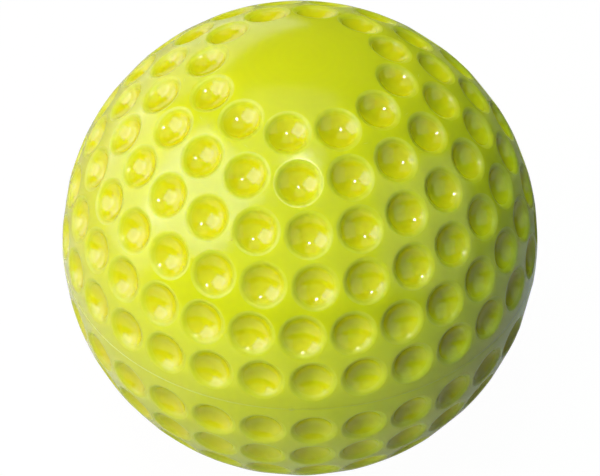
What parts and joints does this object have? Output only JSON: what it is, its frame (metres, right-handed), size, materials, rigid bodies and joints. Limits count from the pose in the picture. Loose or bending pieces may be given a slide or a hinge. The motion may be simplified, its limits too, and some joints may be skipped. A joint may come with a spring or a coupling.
{
  "type": "softball",
  "caption": "Round practice softball for pitching machines: a springy core in a glossy dimpled cover that is joined along a fine parting line, with bare caps at its top and bottom.",
  "frame": {"origin": "centre of the ball", "axes": "+Z along the moulding axis, from the bare cap that the ball rests on up through the centre to the other bare cap; the parting line lies in the XY plane; +X is level to the right, and the picture looks along +Y and down at 43 degrees"},
  "size_m": [0.0972, 0.0972, 0.097],
  "materials": {
    "cover": "glossy optic yellow moulded polyurethane, slightly see-through at its skin",
    "bead": "satin optic yellow bonding resin, a little paler than the cover",
    "core_foam": "matt cream closed-cell foam rubber"
  },
  "bodies": {
    "root": {"core": "core_foam", "upper_cover": "cover", "lower_cover": "cover", "seam_bead": "bead"}
  },
  "joints": []
}
